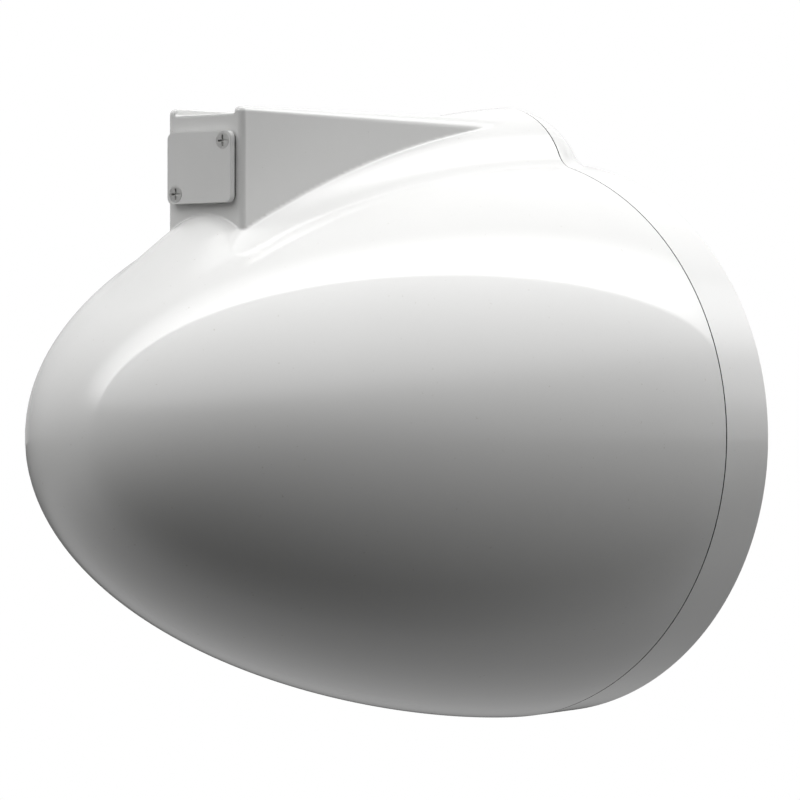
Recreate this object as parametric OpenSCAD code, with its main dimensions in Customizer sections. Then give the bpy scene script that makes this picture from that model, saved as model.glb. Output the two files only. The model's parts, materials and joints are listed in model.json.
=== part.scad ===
// Hanging radar pod: an egg-shaped casing with a front radome, carried by a slotted arm,
// with a two-axis flat antenna scanner inside.
// Lengths are in millimetres. +X is the way the radar looks, +Y is port, +Z is up.
// The modules draw in the pod's own frame: X = 0 is the seam, the X axis is the pod's axis.
// place() then moves the pod so that the centre of the arm's slot floor is the origin.

/* [Casing] */
// Radius of the casing at the seam
shell_r = 154; // [152:1:158]
// Length of the egg-shaped tail behind the seam
tail_len = 341; // [335:1:380]
// How full the tail is along its length
tail_fullness = 1.67; // [1.6:0.01:1.8]
// How round the tail is across
tail_roundness = 2.11; // [2:0.01:2.2]
// Wall of the rear casing
shell_wall = 4; // [3:0.5:5]
// Width of the joint line between casing and radome
seam_gap = 0.7; // [0.4:0.1:1.5]

/* [Radome] */
// Length of the radome's side band
band_len = 40.5; // [38:0.5:50]
// Radius at the radome's front edge
front_r = 152.2; // [151:0.1:153]
// Rise of the radome's domed face
face_rise = 14; // [8:1:20]
// Wall of the radome
radome_wall = 3.5; // [2.5:0.5:4.5]

/* [Hump] */
// Radius of the hump along the top of the casing
hump_r = 43.3; // [43:0.1:45]
// Height of the hump's centre over the pod's axis at the seam
hump_z = 137.5; // [136:0.5:139]
// Slope of the hump at the seam, in degrees
hump_slope = 5.5; // [5:0.5:6]
// Bend radius of the hump's long part
hump_bend_r = 660; // [640:10:680]
// Angle of the hump's long part, in degrees
hump_bend = 20; // [19:0.5:21]
// Bend radius of the hump's tail
hump_tail_r = 120; // [115:5:125]
// Angle of the hump's tail, in degrees
hump_tail_bend = 35; // [33:1:37]

/* [Arm] */
// Width of the arm
arm_w = 52; // [50:1:56]
// Distance from the seam back to the arm's end face
arm_back = 242; // [240:1:245]
// Height of the slot floor over the pod's axis
floor_z = 166; // [165:0.5:168]
// Thickness of the slot floor
floor_t = 4; // [3:0.5:5]
// Width of the mounting slot
slot_w = 41; // [38:1:44]
// Height of the slot's cheeks over its floor, at the arm's end
cheek_h = 3.6; // [3:0.2:5]
// Rise of the cheeks towards the front, in degrees
cheek_rise = 1.13; // [0.8:0.1:1.3]
// Radius of the corners at the arm's end
arm_corner = 3.3; // [2:0.1:4]
// Radius of the cheeks' outer edge at the front
cheek_edge_front = 9.5; // [9:0.5:11]

/* [Mounting] */
// Distance from the arm's end face to the centre of the bolt pattern
pad_setback = 74; // [72:1:76]
// Bolt spacing along the arm
bolt_dx = 80; // [76:1:84]
// Bolt spacing across the arm
bolt_dy = 24; // [24:1:26]
// Thread radius of the mounting inserts
insert_bore_r = 3; // [2.5:0.5:3]
// Outer radius of the mounting inserts
insert_r = 5; // [4.5:0.5:5.5]
// Radius of the cable hole in the grommet
cable_r = 5; // [3:0.5:6]
// Rubber wall round the cable hole
grommet_wall = 2.5; // [2:0.5:3]

/* [Cover plate] */
// Width of the cover plate
plate_w = 44; // [42:1:46]
// Height of the cover plate
plate_h = 36.8; // [35:0.2:38]
// Height of the plate's centre over the pod's axis
plate_z = 138.4; // [137:0.2:140]
// Thickness of the cover plate
plate_t = 3; // [2.8:0.2:4]
// Thickness of the gasket under the plate
plate_gasket_t = 1.2; // [0.8:0.2:1.6]
// Corner radius of the plate
plate_corner = 3.5; // [2:0.5:5]
// Sideways offset of the plate's screws from its centre
plate_screw_y = 16.3; // [15.5:0.1:17]
// Upward offset of the plate's screws from its centre
plate_screw_z = 13.3; // [12.5:0.1:13.5]
// Width of the cable window behind the plate
window_w = 22; // [16:1:22]
// Height of the cable window behind the plate
window_h = 26; // [20:1:26]

/* [Joint ring] */
// Width of the sealing flanges, measured in from the outside
flange_w = 20; // [19:0.5:21]
// Thickness of the casing's flange
flange_t = 5.6; // [5:0.2:6.4]
// Thickness of the radome's flange
radome_flange_t = 5; // [4:0.5:6]
// Inset of the gasket from the outside
gasket_inset = 2; // [1.5:0.5:3]
// Width of the seam gasket
gasket_w = 8; // [7:0.5:9]
// Width of the chassis ring
ring_w = 21; // [20:0.5:22]
// Thickness of the chassis ring
ring_t = 6; // [5:0.5:8]

/* [Hanger] */
// Height of the spine plate's underside over the pod's axis
spine_z = 118; // [117:0.5:119]
// Thickness of the spine plate
spine_t = 5; // [4:0.5:6]
// Width of the spine plate
spine_w = 44; // [40:1:44]
// Thickness of the mounting block inside the arm
block_t = 14; // [12:1:16]
// Radius of the block's legs
leg_r = 7; // [6:0.5:8]
// Spacing of the legs along the pod
leg_dx = 60; // [58:1:62]
// Spacing of the legs across the pod
leg_dy = 26; // [25:0.5:27]

/* [Scanner] */
// Distance from the seam back to the scanner's pivot
pivot_back = 75; // [72:1:78]
// Radius of the flat antenna
antenna_r = 100; // [90:1:101]
// Thickness of the flat antenna
antenna_t = 8; // [6:1:10]
// Distance from the pivot to the antenna's back
antenna_off = 34; // [33:1:37]
// Inner half height of the yoke
yoke_h = 36; // [35:0.5:38]
// Inner half width of the yoke
yoke_w = 34; // [33:0.5:36]
// Bar thickness of the yoke
yoke_bar = 6; // [5:0.5:7]
// Depth of the yoke along the pod
yoke_d = 16; // [14:1:18]
// Distance from the pivot back to the frame's rear face
frame_reach = 80; // [78:1:84]
// Plate thickness of the frame
frame_t = 5; // [4:0.5:6]
// Thickness of the frame's two bearing arms
bearing_arm_t = 6; // [5:0.5:7]
// Radius of the azimuth pins
azimuth_pin_r = 4; // [3.5:0.5:4.5]
// Outer radius of the azimuth bearings
bearing_r = 8; // [7.5:0.5:9]
// Radius of the tilt pins
tilt_pin_r = 3; // [2.5:0.5:3.5]

/* [Gears] */
// Tooth module of the azimuth gear pair
azimuth_module = 1.5; // [1.4:0.05:1.5]
// Tooth module of the tilt gear pair
tilt_module = 1; // [0.95:0.05:1]
// Thickness of the gears
gear_t = 4; // [3:0.5:4]
// Play cut from each tooth at the pitch circle
tooth_play = 0.15; // [0.1:0.05:0.25]

/* [Hidden] */
$fn = 96;
eps = 0.01;
seat_gap = 0.3;      // between pieces that only lie beside each other
running = 0.04;      // radial clearance of a turning shaft
snug = 0.05;         // radial clearance of a fixed pin or screw

// Casing, radome and hump
tail_steps = 30;
face_steps = 16;
casing_x = -seam_gap / 2;
radome_x = seam_gap / 2;
face_r = (front_r * front_r + face_rise * face_rise) / (2 * face_rise);
face_x = band_len + face_rise - face_r;
hump_cx = hump_bend_r * sin(hump_slope);
hump_cz = hump_z - hump_bend_r * cos(hump_slope);
hump_turn = hump_slope + hump_bend;
hump_tail_cx = hump_cx - (hump_bend_r - hump_tail_r) * sin(hump_turn);
hump_tail_cz = hump_cz + (hump_bend_r - hump_tail_r) * cos(hump_turn);
hump_lead = 2;                       // degrees

// Arm
arm_front = 20;                      // where the arm has sunk wholly into the hump
root_depth = 2;
arm_z0 = tail_r(arm_back) - shell_wall - root_depth;    // the arm's root, inside the casing
arm_x = -arm_back;
cheek_z = floor_z + cheek_h;
cheek_z_front = cheek_z + (arm_back - arm_front) * tan(cheek_rise);
cavity_w = arm_w - 2 * shell_wall;
cavity_z = floor_z - floor_t;
pad_x = arm_x + pad_setback;
grommet_r = cable_r + grommet_wall;
plate_face_x = arm_x - plate_gasket_t - plate_t;

// Fasteners: shank radius, head radius and head height
m3 = [1.5, 2.75, 2.2];
m4 = [2, 4.2, 2.4];
m6 = [3, 5, 6];
washer_t = 1.2;

// Joint ring
flange_x = casing_x - flange_t;
ring_x = flange_x - ring_t;
ring_r = shell_r - shell_wall - 1;
ring_in_r = ring_r - ring_w;
screw_circle_r = shell_r - flange_w + 5;
clip_w = 10;
clip_t = 1.2;
clip_foot = 7;
clip_r = shell_r - gasket_inset - gasket_w;     // inner edge of the radome's flange
shell_screw_angles = [for (i = [0:7]) 22.5 + 45 * i];
clip_angles = [for (i = [0:7]) if (i != 2) 45 * i];

// Hanger: block in the arm, legs, spine plate
block_z = cavity_z - block_t;
block_back = 54;                     // from the bolt pattern's centre to each end of the block
block_ahead = 64;
block_x0 = pad_x - block_back;
block_x1 = pad_x + block_ahead;
cavity_ahead = 20;                   // room in the arm ahead of the block
cavity_front = -block_x1 - cavity_ahead;
block_w = cavity_w - 2 * seat_gap;
web_t = 5;
web_drop = 16;                       // from the plate's centre down to the web's foot
web_z = plate_z - web_drop;
leg_ahead = 28;                      // from the bolt pattern's centre to the middle of the legs
leg_mid = pad_x + leg_ahead;
leg_spots = [for (sx = [-1, 1], sy = [-1, 1]) [leg_mid + sx * leg_dx / 2, sy * leg_dy / 2]];
insert_spots = [for (sx = [-1, 1], sy = [-1, 1]) [pad_x + sx * bolt_dx / 2, sy * bolt_dy / 2]];
spine_top = spine_z + spine_t;
spine_margin = 15;                   // from the rear legs to the spine's end
spine_x0 = leg_mid - leg_dx / 2 - spine_margin;
tab_margin = 2;                      // from the ring's outer edge down to the tab's top
tab_top = ring_r - tab_margin;
tab_screw_y = 12;
tab_screw_z = (ring_in_r + ring_r) / 2 - 0.5;

// Terminal block and its lead
terminal_w = 30;
terminal_h = 18;
terminal_d = 10;
terminal_z = plate_z;
harness_r = 3;

// Scanner
pivot_x = -pivot_back;
yoke_top = yoke_h + yoke_bar;
yoke_side = yoke_w + yoke_bar;
gear_gap = 2;
arm_in = yoke_top + gear_t + gear_gap;          // inner face of each bearing arm
arm_out = arm_in + bearing_arm_t;
bearing_boss_r = bearing_r + 6;
frame_x0 = pivot_x - frame_reach;
frame_x1 = frame_x0 + frame_t;
frame_w = spine_w;
flange_len = 30;
frame_screw_x = [frame_x1 + m4[1] + 0.8, frame_x0 + flange_len - 6];
frame_screw_y = 15;
pin_end = arm_out + 3;
clip_groove = 0.5;

// Gears: the large gears have their teeth behind the pivot, where the pinions sit
gear_teeth = 60;
pinion_teeth = 18;
azimuth_centre = azimuth_module * (gear_teeth + pinion_teeth) / 2;
tilt_centre = tilt_module * (gear_teeth + pinion_teeth) / 2;
azimuth_side_teeth = 12;
tilt_side_teeth = 5;
gear_z = -yoke_top - gear_t;

// Antenna bracket and tilt drive
ear_t = 4.7;
bush_flange_t = 1;
bush_wall = 1;
ear_out = yoke_w - bush_flange_t - seat_gap;
ear_in = ear_out - ear_t;
ear_r = 9;
bracket_t = 4;
bracket_h = 30;
tilt_gear_y = ear_in - gear_t;
plate_web_y = 12;
plate_web_t = 4;
tilt_motor_half = 14;
tilt_motor_len = 34;
azimuth_motor_half = 17.5;
azimuth_motor_len = 28;
azimuth_shaft_r = 2.5;
tilt_shaft_r = 2;
rf_z0 = 60;
rf_h = 28;
rf_w = 60;
rf_d = 12;

// Electronics behind the frame
box_depth = 40;
box_w = 100;
box_z0 = -50;
box_h = 90;
box_wall = 3;
lid_t = 3;
board_t = 1.6;
standoff_h = 8;
board_margin = 10;
supply_gap = 5;
supply_z0 = box_z0 + box_h + supply_gap;
supply_h = 50;
supply_d = 30;

// ---- Helpers ----

// Moves the pod so that the centre of the slot floor is the origin
module place() { translate([-pad_x, 0, -floor_z]) children(); }

module block(x0, x1, y0, y1, z0, z1) { translate([x0, y0, z0]) cube([x1 - x0, y1 - y0, z1 - z0]); }

// Extrusions of a flat drawing along X (drawn in Y, Z), along Y (drawn in X, Z) and along Z
module along_x(x0, x1) { translate([x0, 0, 0]) rotate([90, 0, 90]) linear_extrude(x1 - x0) children(); }
module along_y(y0, y1) { translate([0, y1, 0]) rotate([90, 0, 0]) linear_extrude(y1 - y0) children(); }
module along_z(z0, z1) { translate([0, 0, z0]) linear_extrude(z1 - z0) children(); }

module rod_x(x0, x1, r) { translate([x0, 0, 0]) rotate([0, 90, 0]) cylinder(h = x1 - x0, r = r); }
module rod_y(y0, y1, r) { translate([0, y1, 0]) rotate([90, 0, 0]) cylinder(h = y1 - y0, r = r); }
module rod_z(z0, z1, r) { translate([0, 0, z0]) cylinder(h = z1 - z0, r = r); }

// A turn about the pod's axis: angle 0 is port, 90 is up
module around(angle, r) { rotate([angle, 0, 0]) translate([0, r, 0]) children(); }

module rounded_rect(w, h, r) {
    square([w - 2 * r, h], center = true);
    square([w, h - 2 * r], center = true);
    for (sx = [-1, 1], sy = [-1, 1]) translate([sx * (w / 2 - r), sy * (h / 2 - r)]) circle(r = r);
}

// A pan-head screw along +X with its head's underside at X = 0 and its shank behind it
module screw_x(size, shank) {
    rod_x(0, size[2], size[1]);
    rod_x(-shank, eps, size[0] - snug);
}

// ---- Outside form, shared by the casing, the radome and the seals ----

function tail_point(turn, grow) = [
    (shell_r + grow) * pow(sin(turn), 2 / tail_roundness),
    (tail_len + grow) * pow(cos(turn), 2 / tail_fullness)];

// Radius of the tail at a distance behind the seam
function tail_r(back) = shell_r * pow(sin(acos(pow(back / tail_len, tail_fullness / 2))), 2 / tail_roundness);

module egg(grow) {
    outline = [for (i = [0:tail_steps]) tail_point(90 * i / tail_steps, grow)];
    rotate([0, -90, 0]) rotate_extrude() polygon(concat([[0, 0]], outline));
}

// The hump starts a little ahead of the seam, where the casing is cut. Its inside ends a wall short.
module hump(grow) {
    tail_turn = hump_tail_bend + grow / hump_tail_r * 180 / PI;
    translate([hump_cx, 0, hump_cz]) rotate([90, 0, 0]) rotate([0, 0, 90 + hump_slope - hump_lead])
        rotate_extrude(angle = hump_bend + hump_lead) translate([hump_bend_r, 0]) circle(r = hump_r + grow);
    translate([hump_tail_cx, 0, hump_tail_cz]) rotate([90, 0, 0]) rotate([0, 0, 90 + hump_turn])
        rotate_extrude(angle = tail_turn) translate([hump_tail_r, 0]) circle(r = hump_r + grow);
}

// The casing's outline at the seam, drawn in Y and Z
module seam_outline(grow) {
    circle(r = shell_r + grow);
    translate([0, hump_z]) circle(r = hump_r + grow);
}

module behind(x) { block(-tail_len - 20, x, -shell_r - 20, shell_r + 20, -shell_r - 20, shell_r + 60); }
module ahead_of(x) { block(x, band_len + face_rise + 20, -shell_r - 20, shell_r + 20, -shell_r - 20, shell_r + 60); }

// The arm narrows to rounded corners at its end, and its edges grow rounder towards the front
module arm_form() {
    inset = arm_w / 2 - arm_corner;
    difference() {
        hull() {
            for (s = [-1, 1]) translate([arm_x + arm_corner, s * inset, 0]) {
                translate([0, 0, cheek_z - arm_corner]) sphere(r = arm_corner, $fn = 24);
                rod_z(arm_z0, arm_z0 + 1, arm_corner, $fn = 24);
            }
            along_x(-arm_front, -arm_front + 1) {
                translate([-arm_w / 2, arm_z0]) square([arm_w, 1]);
                for (s = [-1, 1]) translate([s * (arm_w / 2 - cheek_edge_front), cheek_z_front - cheek_edge_front])
                    circle(r = cheek_edge_front, $fn = 32);
            }
        }
        block(arm_x - 1, 0, -slot_w / 2, slot_w / 2, floor_z, cheek_z_front + 10);
    }
}

// ---- Casing ----

module rear_shell() {
    color("white") place() {
        difference() {
            union() {
                intersection() {
                    union() {
                        egg(0);
                        hump(0);
                    }
                    behind(casing_x);
                }
                arm_form();
            }
            difference() {
                union() {
                    egg(-shell_wall);
                    hump(-shell_wall);
                }
                along_x(flange_x, radome_x) difference() {
                    seam_outline(-shell_wall / 2);
                    seam_outline(-flange_w);
                }
            }
            block(arm_x + shell_wall, -cavity_front, -cavity_w / 2, cavity_w / 2, arm_z0 + 2, cavity_z);
            translate([0, 0, plate_z]) along_x(arm_x - 1, arm_x + shell_wall + 1)
                square([window_w, window_h], center = true);
            for (s = [-1, 1]) translate([0, -s * plate_screw_y, plate_z + s * plate_screw_z])
                rod_x(arm_x - 1, arm_x + shell_wall + 1, m4[0]);
            for (p = insert_spots) translate([p[0], p[1], 0]) rod_z(cavity_z - 1, floor_z + 1, insert_r + snug);
            translate([pad_x, 0, 0]) rod_z(cavity_z - 1, floor_z + 1, grommet_r);
            for (a = shell_screw_angles) around(a, screw_circle_r) rod_x(flange_x - 1, radome_x, m3[0]);
            for (a = clip_angles) around(a, clip_screw_r) rod_x(flange_x + 1, radome_x, m3[0]);
            for (s = [-1, 1]) translate([0, s * tab_screw_y, tab_screw_z])
                rod_x(flange_x, radome_x, m4[1] + seat_gap);
        }
    }
}

// A point of the domed face, at a share of the way from its centre to its edge
function face_point(share, wall) =
    let (r = share * (front_r - wall))
    [r, face_x + sqrt(pow(face_r - wall, 2) - r * r)];

module radome_body(wall) {
    face = [for (i = [face_steps:-1:0]) face_point(i / face_steps, wall)];
    rotate([0, 90, 0]) rotate_extrude() polygon(concat([[0, 0], [shell_r - wall, 0]], face));
    translate([0, 0, hump_z]) sphere(r = hump_r - wall);
}

module front_radome() {
    color("whitesmoke") place() {
        difference() {
            intersection() {
                radome_body(0);
                ahead_of(radome_x);
            }
            difference() {
                radome_body(radome_wall);
                along_x(radome_x - 1, radome_x + radome_flange_t) difference() {
                    seam_outline(-radome_wall / 2);
                    seam_outline(-gasket_inset - gasket_w);
                }
            }
        }
    }
}

module seam_gasket() {
    color("dimgray") place() along_x(casing_x, radome_x) difference() {
        seam_outline(-gasket_inset);
        seam_outline(-gasket_inset - gasket_w);
    }
}

// ---- Cover plate on the arm's end ----

module plate_holes(r) {
    for (s = [-1, 1]) translate([0, -s * plate_screw_y, plate_z + s * plate_screw_z])
        rod_x(plate_face_x - 1, arm_x + 1, r);
}

module cover_plate() {
    color("gainsboro") place() difference() {
        translate([0, 0, plate_z]) along_x(plate_face_x, arm_x - plate_gasket_t)
            rounded_rect(plate_w, plate_h, plate_corner);
        plate_holes(m4[0] + 0.2);
        for (s = [-1, 1]) translate([plate_face_x, -s * plate_screw_y, plate_z + s * plate_screw_z])
            rotate([0, 90, 0]) cylinder(h = m4[2], r1 = m4[1] + 0.15, r2 = m4[0] + 0.2);
    }
}

module plate_gasket() {
    color("dimgray") place() difference() {
        translate([0, 0, plate_z]) along_x(arm_x - plate_gasket_t, arm_x)
            rounded_rect(plate_w - 1, plate_h - 1, plate_corner);
        translate([0, 0, plate_z]) along_x(arm_x - plate_gasket_t - 1, arm_x + 1)
            square([window_w, window_h], center = true);
        plate_holes(m4[0] + 0.2);
    }
}

module plate_screws() {
    shank_end = arm_x + shell_wall + 1;
    recess = 1.4;
    color("silver") place() for (s = [-1, 1])
        translate([plate_face_x, -s * plate_screw_y, plate_z + s * plate_screw_z]) difference() {
            union() {
                rotate([0, 90, 0]) cylinder(h = m4[2], r1 = m4[1], r2 = m4[0] - snug);
                rod_x(0, shank_end - plate_face_x, m4[0] - snug);
            }
            for (turn = [0, 90]) rotate([turn, 0, 0]) block(-1, recess, -3, 3, -0.55, 0.55);
        }
}

// ---- Mounting: block inside the arm, inserts, grommet, spine ----

module mount_block() {
    color("lightgray") place() difference() {
        union() {
            block(block_x0, block_x1, -block_w / 2, block_w / 2, block_z, cavity_z);
            block(block_x0, block_x0 + web_t, -block_w / 2, block_w / 2, web_z, block_z + 1);
            for (p = leg_spots) translate([p[0], p[1], 0]) rod_z(spine_top, block_z + 1, leg_r);
        }
        for (p = insert_spots) translate([p[0], p[1], 0]) rod_z(block_z + 1, cavity_z + 1, insert_r + snug);
        translate([pad_x, 0, 0]) rod_z(block_z - 1, cavity_z + 1, grommet_r + 2);
        for (p = leg_spots) translate([p[0], p[1], 0]) rod_z(spine_top - 1, spine_top + 20, m6[0]);
    }
}

module mount_inserts() {
    color("silver") place() for (p = insert_spots) translate([p[0], p[1], 0]) difference() {
        rod_z(block_z + 1, floor_z, insert_r);
        rod_z(block_z + 3, floor_z + 1, insert_bore_r);
    }
}

module cable_grommet() {
    lip_t = 1.5;
    color("dimgray") place() translate([pad_x, 0, 0]) difference() {
        union() {
            rod_z(cavity_z, floor_z, grommet_r);
            rod_z(cavity_z - lip_t, cavity_z, grommet_r + 2 - seat_gap);
        }
        rod_z(cavity_z - lip_t - 1, floor_z + 1, cable_r);
    }
}

module spine_plate() {
    color("lightgray") place() difference() {
        union() {
            block(spine_x0, ring_x, -spine_w / 2, spine_w / 2, spine_z, spine_top);
            block(ring_x - ring_t, ring_x, -spine_w / 2, spine_w / 2, spine_z, tab_top);
        }
        for (p = leg_spots) translate([p[0], p[1], 0]) rod_z(spine_z - 1, spine_top + 1, m6[0] + 0.3);
        for (x = frame_screw_x, s = [-1, 1]) translate([x, s * frame_screw_y, 0])
            rod_z(spine_z - 1, spine_top + 1, m4[0]);
        for (s = [-1, 1]) translate([0, s * tab_screw_y, tab_screw_z])
            rod_x(ring_x - ring_t - 1, ring_x + 1, m4[0]);
    }
}

module block_bolts() {
    color("silver") place() for (p = leg_spots) translate([p[0], p[1], 0]) {
        rod_z(spine_z - washer_t, spine_z, m6[1] + 1);
        rod_z(spine_z - washer_t - m6[2], spine_z - washer_t + eps, m6[1]);
        rod_z(spine_z - washer_t, spine_top + 18, m6[0] - snug);
    }
}

// ---- Chassis ring, its screws and the radome's clips ----

clip_screw_r = clip_r - 1.5 * clip_t - clip_foot / 2;

module chassis_ring() {
    color("lightgray") place() difference() {
        along_x(ring_x, flange_x) difference() {
            circle(r = ring_r);
            circle(r = ring_in_r);
        }
        for (a = shell_screw_angles) around(a, screw_circle_r) rod_x(ring_x - 1, flange_x + 1, m3[0]);
        for (s = [-1, 1]) translate([0, s * tab_screw_y, tab_screw_z]) rod_x(ring_x - 1, flange_x + 1, m4[0]);
    }
}

module shell_screws() {
    color("silver") place() for (a = shell_screw_angles) around(a, screw_circle_r)
        translate([casing_x, 0, 0]) screw_x(m3, flange_t + ring_t);
}

module ring_screws() {
    color("silver") place() for (s = [-1, 1]) translate([flange_x, s * tab_screw_y, tab_screw_z])
        screw_x(m4, 2 * ring_t);
}

module radome_clips() {
    hook_x = radome_x + radome_flange_t + seat_gap;
    riser = clip_r - seat_gap;
    color("silver") place() for (a = clip_angles) rotate([a, 0, 0]) difference() {
        union() {
            block(casing_x, casing_x + clip_t, riser - clip_t - clip_foot, riser, -clip_w / 2, clip_w / 2);
            block(casing_x, hook_x + clip_t, riser - clip_t, riser, -clip_w / 2, clip_w / 2);
            block(hook_x, hook_x + clip_t, riser - clip_t, riser + 3, -clip_w / 2, clip_w / 2);
        }
        translate([0, clip_screw_r, 0]) rod_x(casing_x - 1, casing_x + clip_t + 1, m3[0] + 0.1);
    }
}

module clip_screws() {
    color("silver") place() for (a = clip_angles) around(a, clip_screw_r)
        translate([casing_x + clip_t, 0, 0]) screw_x([m3[0], 2.4, 1.6], clip_t + flange_t - 1.2);
}

// ---- Terminal block and lead ----

module terminal_block() {
    ways = 5;
    pitch = 5.5;
    x1 = block_x0;
    x0 = x1 - terminal_d;
    color("seagreen") place() difference() {
        block(x0, x1, -terminal_w / 2, terminal_w / 2, terminal_z - terminal_h / 2, terminal_z + terminal_h / 2);
        for (i = [0:ways - 1]) translate([0, (i - (ways - 1) / 2) * pitch, terminal_z + 4]) rod_x(x0 - 1, x0 + 5, 1.9);
    }
}

module main_harness() {
    top = terminal_z - terminal_h / 2;
    x0 = block_x0 - terminal_d / 2;
    bend_z = supply_z0 + supply_h / 2;
    color("black") place() {
        translate([x0, 0, 0]) rod_z(bend_z, top, harness_r);
        translate([x0, 0, bend_z]) sphere(r = harness_r);
        translate([0, 0, bend_z]) rod_x(x0, frame_x0 - supply_d, harness_r);
    }
}

// ---- Scanner frame, bearings and azimuth motor ----

module bearing_arm() {
    translate([pivot_x, 0]) circle(r = bearing_boss_r);
    translate([frame_x0, -bearing_boss_r]) square([frame_reach, 2 * bearing_boss_r]);
    translate([frame_x0, -frame_w / 2]) square([azimuth_motor_half * 2 + 8, frame_w]);
}

module motor_screw_spots(centre_x, half) {
    for (sx = [-1, 1], sy = [-1, 1]) translate([centre_x + sx * (half - 4), sy * (half - 4), 0]) children();
}

module scanner_frame() {
    motor_x = pivot_x - azimuth_centre;
    color("gray") place() difference() {
        union() {
            along_z(arm_in, arm_out) bearing_arm();
            along_z(-arm_out, -arm_in) bearing_arm();
            block(frame_x0, frame_x1, -frame_w / 2, frame_w / 2, -arm_out, spine_z);
            block(frame_x0, frame_x0 + flange_len, -frame_w / 2, frame_w / 2, spine_z - frame_t, spine_z);
        }
        translate([pivot_x, 0, 0]) rod_z(-arm_out - 1, arm_out + 1, bearing_r + snug);
        translate([motor_x, 0, 0]) rod_z(-arm_out - 1, -arm_in + 1, azimuth_shaft_r + 3);
        motor_screw_spots(motor_x, azimuth_motor_half) rod_z(-arm_out - 1, -arm_in + 1, m3[0]);
        for (x = frame_screw_x, s = [-1, 1]) translate([x, s * frame_screw_y, 0])
            rod_z(spine_z - frame_t - 1, spine_z + 1, m4[0] + 0.2);
        rod_x(frame_x0 - 1, frame_x1 + 1, 15);
    }
}

module frame_screws() {
    color("silver") place() for (x = frame_screw_x, s = [-1, 1])
        translate([x, s * frame_screw_y, spine_z - frame_t]) rotate([0, 90, 0]) screw_x(m4, frame_t + spine_t);
}

module azimuth_bearings() {
    color("silver") place() for (s = [-1, 1]) translate([pivot_x, 0, s * (arm_in + arm_out) / 2]) difference() {
        cylinder(h = bearing_arm_t, r = bearing_r, center = true);
        cylinder(h = bearing_arm_t + 2, r = azimuth_pin_r + running, center = true);
        for (face = [-1, 1]) translate([0, 0, face * bearing_arm_t / 2]) difference() {
            cylinder(h = 1, r = bearing_r - 1.2, center = true);
            cylinder(h = 2, r = azimuth_pin_r + 1.2, center = true);
        }
    }
}

module azimuth_motor() {
    top = -arm_out;
    color("dimgray") place() translate([pivot_x - azimuth_centre, 0, 0]) difference() {
        union() {
            along_z(top - azimuth_motor_len, top)
                rounded_rect(2 * azimuth_motor_half, 2 * azimuth_motor_half, 3);
            rod_z(top - eps, top + 2, azimuth_shaft_r + 2.5);
        }
        rod_z(top - azimuth_motor_len + 4, top + 3, azimuth_shaft_r + running);
        for (sx = [-1, 1], sy = [-1, 1])
            translate([sx * (azimuth_motor_half - 4), sy * (azimuth_motor_half - 4), 0]) rod_z(top - 6, top + 1, m3[0]);
    }
}

module azimuth_motor_screws() {
    color("silver") place() motor_screw_spots(pivot_x - azimuth_centre, azimuth_motor_half)
        translate([0, 0, -arm_in]) rotate([0, -90, 0]) screw_x([m3[0], 2.6, 1.4], bearing_arm_t + 5);
}

// ---- Gears ----

function involute(base_r, r) = r <= base_r ? 0 : let (a = acos(base_r / r)) tan(a) * 180 / PI - a;

// Half the angle of a tooth at radius r
function tooth_half(m, teeth, r) =
    let (pitch_r = m * teeth / 2, base_r = pitch_r * cos(20))
    90 / teeth - tooth_play / pitch_r * 90 / PI + involute(base_r, pitch_r) - involute(base_r, r);

function polar(r, a) = [r * cos(a), r * sin(a)];

// One tooth's outline, centred on the angle a, from root to tip and back
function tooth(m, teeth, a) =
    let (pitch_r = m * teeth / 2,
         radii = [for (k = [0:5]) pitch_r + m * (-1.25 + 2.2 * k / 5)])
    concat([for (k = [0:5]) polar(radii[k], a - tooth_half(m, teeth, radii[k]))],
           [for (k = [5:-1:0]) polar(radii[k], a + tooth_half(m, teeth, radii[k]))]);

// A toothed sector whose middle tooth points at 180 degrees, and its hub
module sector(m, side_teeth, hub_r) {
    step = 360 / gear_teeth;
    polygon(concat([[0, 0]],
        [for (k = [-side_teeth:side_teeth]) each tooth(m, gear_teeth, 180 + k * step)]));
    circle(r = hub_r);
}

// A pinion with a tooth gap at 0 degrees, towards the sector
module pinion_outline(m) {
    step = 360 / pinion_teeth;
    polygon([for (k = [0:pinion_teeth - 1]) each tooth(m, pinion_teeth, (k + 0.5) * step)]);
}

gear_screw_y = yoke_d / 2 + 6;
gear_hole_y = 19;
gear_hole_r = 5;

module azimuth_gear() {
    color("burlywood") place() translate([pivot_x, 0, 0]) difference() {
        along_z(gear_z, gear_z + gear_t) sector(azimuth_module, azimuth_side_teeth, gear_screw_y + 5);
        rod_z(gear_z - 1, gear_z + gear_t + 1, azimuth_pin_r + snug);
        for (s = [-1, 1]) translate([0, s * gear_screw_y, 0]) rod_z(gear_z - 1, gear_z + gear_t + 1, m3[0] + 0.2);
        for (s = [-1, 1]) translate([-azimuth_module * gear_teeth / 4, s * gear_hole_y, 0])
            rod_z(gear_z - 1, gear_z + gear_t + 1, gear_hole_r);
    }
}

module gear_screws() {
    head_t = 1.4;
    color("silver") place() for (s = [-1, 1]) translate([pivot_x, s * gear_screw_y, gear_z])
        rotate([0, 90, 0]) screw_x([m3[0], m3[1], head_t], gear_t + yoke_bar - 1);
}

module azimuth_motor_shaft() {
    color("silver") place() translate([pivot_x - azimuth_centre, 0, 0])
        rod_z(-arm_out - 10, gear_z + gear_t, azimuth_shaft_r);
}

module azimuth_pinion() {
    color("goldenrod") place() translate([pivot_x - azimuth_centre, 0, 0]) difference() {
        along_z(gear_z, gear_z + gear_t) pinion_outline(azimuth_module);
        rod_z(gear_z - 1, gear_z + gear_t + 1, azimuth_shaft_r);
    }
}

// ---- Yoke ----

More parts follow.
